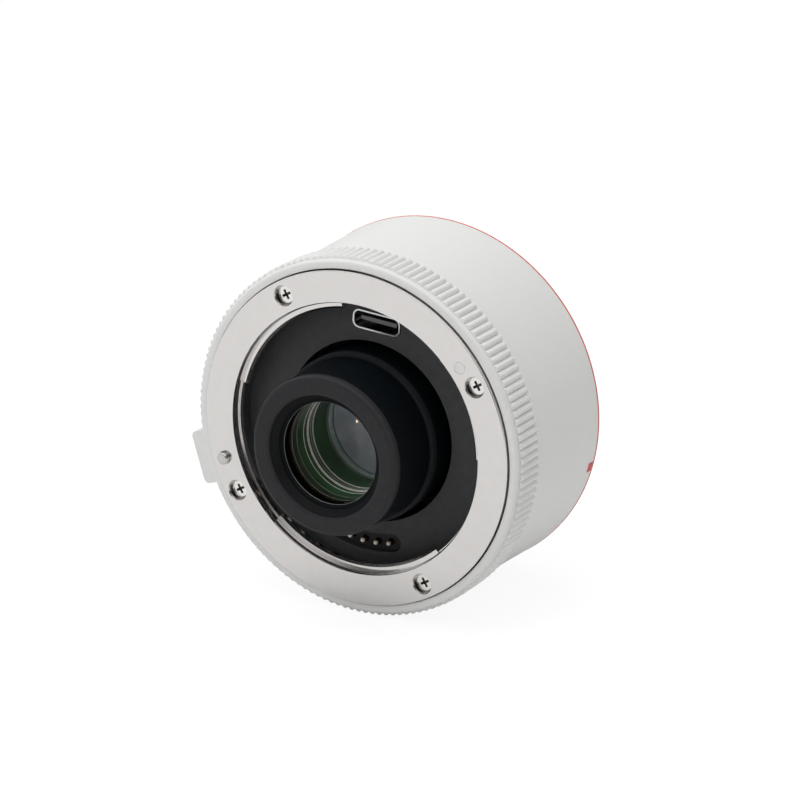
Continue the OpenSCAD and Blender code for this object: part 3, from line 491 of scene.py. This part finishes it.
def grip_section(clock, relief):
    """Outline of the grip ring at one clock angle; relief runs from 0 in a groove to 1 on a rib's crest."""
    crest_r = rib_root_r + RIB_HEIGHT * relief
    outline = [(bore_r, grip_front)]
    for i in range(CORNER_STEPS + 1):
        turn = math.radians(90 * i / CORNER_STEPS)
        outline.append((rib_root_r - BEVEL + BEVEL * math.sin(turn),
                        grip_front + BEVEL * (1 - math.cos(turn))))
    outline.append((rib_root_r, rib_front - RIB_END))
    for i in range(CORNER_STEPS):
        turn = math.radians(90 * (i + 1) / CORNER_STEPS)
        outline.append((rib_root_r + (crest_r - rib_root_r) * math.sin(turn),
                        rib_front - RIB_END * math.cos(turn)))
    outline.append((crest_r, grip_rear - RIB_END / 2))
    outline.append((crest_r - RIB_REAR_DROP * (crest_r - rib_root_r), grip_rear))
    outline.append((bore_r, grip_rear))
    return [at(radius, clock, depth) for radius, depth in outline]


lever_middle = (lever_low + lever_high) / 2
lever_clock = math.degrees(math.atan2(lever_middle.x, lever_middle.z))
recess_half = math.degrees((lever_high.z - lever_low.z) / 2 / (rib_root_r * MM))
grip_around = RIB_COUNT * RIB_STEPS
grip_points = []
for i in range(grip_around):
    clock = 360 * i / grip_around
    crest = abs(math.cos(math.pi * i / RIB_STEPS)) ** CREST_POWER
    from_lever = abs((clock - lever_clock + 180) % 360 - 180)
    grip_points += grip_section(clock, 0 if from_lever < recess_half else crest)
grip_faces = ring_faces(0, grip_around, len(grip_points) // grip_around)
grip = add_piece("grip_ribs", grip_points, grip_faces, white_paint, GRIP_SHARP)
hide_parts("grip_ring")

# Floor
FLOOR_SIZE = 3.0
FLOOR_GAP = 0.02 * MM
FLOOR_GLOW_ON_OBJECT = 0.04
FLOOR_GLOW_IN_VIEW = 0.9
FLOOR_SHADING = (0.16, 0.16, 0.16, 1)
floor_mesh = bpy.data.meshes.new("floor")
floor_shape = bmesh.new()
bmesh.ops.create_grid(floor_shape, x_segments=1, y_segments=1, size=FLOOR_SIZE)
floor_shape.to_mesh(floor_mesh)
floor_shape.free()
floor = bpy.data.objects.new("floor", floor_mesh)
bpy.context.scene.collection.objects.link(floor)
floor.location.z = cad_box[0][2] - FLOOR_GAP

# The camera sees the floor as nearly white, with a little of its shading; the object sees bright pale paper
floor_finish = Finish("floor_white", linear(236, 236, 236), 0.8, specular=0.0).mottle(3, 0.002)
floor_finish.shader.inputs["Emission Color"].default_value = (1, 1, 1, 1)
floor_finish.shader.inputs["Emission Strength"].default_value = FLOOR_GLOW_ON_OBJECT
path = floor_finish.add("ShaderNodeLightPath")
glow = floor_finish.add("ShaderNodeEmission")
glow.inputs["Strength"].default_value = FLOOR_GLOW_IN_VIEW
plain = floor_finish.add("ShaderNodeBsdfDiffuse")
plain.inputs["Color"].default_value = FLOOR_SHADING
both = floor_finish.add("ShaderNodeAddShader")
share = floor_finish.add("ShaderNodeMixShader")
floor_finish.link(glow.outputs["Emission"], both.inputs[0])
floor_finish.link(plain.outputs["BSDF"], both.inputs[1])
floor_finish.link(path.outputs["Is Camera Ray"], share.inputs["Fac"])
floor_finish.link(floor_finish.shader.outputs["BSDF"], share.inputs[1])
floor_finish.link(both.outputs["Shader"], share.inputs[2])
floor_finish.link(share.outputs["Shader"], floor_finish.tree.nodes["Material Output"].inputs["Surface"])
floor_mesh.materials.append(floor_finish.mat)

# World: white behind the object, an even glow as light, and a dim room in front as gloss shows it
ROOM_GLOW = 0.36
ROOM_FRONT = 0.15
ROOM_FRONT_ENDS = (-0.7, -0.1)
ROOM_TOP_ENDS = (0.35, 0.75)
world = bpy.data.worlds.new("studio")
bpy.context.scene.world = world
world.use_nodes = True
sky = world.node_tree
background = sky.nodes["Background"]
background.inputs["Color"].default_value = (1, 1, 1, 1)


def sky_ramp(value, from_low, from_high, to_low, to_high):
    node = sky.nodes.new("ShaderNodeMapRange")
    node.interpolation_type = "SMOOTHSTEP"
    node.inputs["From Min"].default_value = from_low
    node.inputs["From Max"].default_value = from_high
    node.inputs["To Min"].default_value = to_low
    node.inputs["To Max"].default_value = to_high
    sky.links.new(value, node.inputs["Value"])
    return node.outputs["Result"]


def sky_mix(share, low, high):
    node = sky.nodes.new("ShaderNodeMix")
    sky.links.new(share, node.inputs["Factor"])
    for socket, value in ((node.inputs[VALUE_A], low), (node.inputs[VALUE_B], high)):
        if isinstance(value, float):
            socket.default_value = value
        else:
            sky.links.new(value, socket)
    return node.outputs[VALUE_OUT]


way = sky.nodes.new("ShaderNodeSeparateXYZ")
sky.links.new(sky.nodes.new("ShaderNodeTexCoord").outputs["Generated"], way.inputs["Vector"])
rays = sky.nodes.new("ShaderNodeLightPath")
room = sky_ramp(way.outputs["Y"], *ROOM_FRONT_ENDS, ROOM_FRONT, 1.0)
room = sky_mix(sky_ramp(way.outputs["Z"], *ROOM_TOP_ENDS, 0.0, 1.0), room, 1.0)
level = sky_mix(rays.outputs["Is Glossy Ray"], ROOM_GLOW, room)
level = sky_mix(rays.outputs["Is Camera Ray"], level, 1.0)
sky.links.new(level, background.inputs["Strength"])


# Lamps: places and sizes in metres, power in watts; the last one, a narrow one, only lights the first glass
GLINT_TURN = math.radians(35)
GLINT_HEIGHT = 0.014
GLINT_COLOR = (1.0, 0.86, 0.72)


def lamp(name, place, target, size, power, mirrored=False):
    data = bpy.data.lights.new(name, "AREA")
    data.shape = "DISK"
    data.size = size
    data.energy = power
    obj = bpy.data.objects.new(name, data)
    bpy.context.scene.collection.objects.link(obj)
    obj.location = place
    obj.visible_glossy = mirrored
    aim = Vector(target) - Vector(place)
    obj.rotation_euler = aim.to_track_quat("-Z", "Y").to_euler()
    return obj


middle = (0, LENS_FLANGE_Y / 2, 0)
lamp("top_light", (-0.05, -0.10, 0.75), middle, 0.7, 3.5)
lamp("front_light", (-0.28, -0.55, 0.40), middle, 0.4, 1.0)
lamp("right_light", (0.60, 0.20, -0.01), middle, 0.3, 0.4)
glint = lamp("glint_light", (-0.19, -0.75, -0.035), middle, 0.09, 0.6, mirrored=True)
glint.rotation_euler.rotate_axis("Z", GLINT_TURN)
glint.data.shape = "RECTANGLE"
glint.data.size_y = GLINT_HEIGHT
glint.data.color = GLINT_COLOR
glint_shows_on = bpy.data.collections.new("glint_shows_on")
glint_shows_on.objects.link(nodes["lens_1"])
glint.light_linking.receiver_collection = glint_shows_on

# Camera: the photograph's view
AZIMUTH = math.radians(30.38)
ELEVATION = math.radians(19.38)
DISTANCE = 570.3 * MM
OFFSET_RIGHT = -7.70 * MM
OFFSET_DOWN = 6.57 * MM
FOCAL_LENGTH = 157.5
SENSOR_WIDTH = 36
CLIP_START = 0.01
back = Vector((math.sin(AZIMUTH) * math.cos(ELEVATION), -math.cos(AZIMUTH) * math.cos(ELEVATION),
               math.sin(ELEVATION)))
right = Vector((math.cos(AZIMUTH), math.sin(AZIMUTH), 0))
up = back.cross(right)
ring_centre = Vector((0, LENS_FLANGE_Y, 0))
camera_data = bpy.data.cameras.new("photo_camera")
camera_data.lens = FOCAL_LENGTH
camera_data.sensor_width = SENSOR_WIDTH
camera_data.clip_start = CLIP_START
camera = bpy.data.objects.new("photo_camera", camera_data)
bpy.context.scene.collection.objects.link(camera)
camera.matrix_world = Matrix((right, up, back)).transposed().to_4x4()
camera.location = ring_centre - OFFSET_RIGHT * right + OFFSET_DOWN * up + DISTANCE * back
bpy.context.scene.camera = camera
bpy.context.scene.view_settings.view_transform = "Standard"
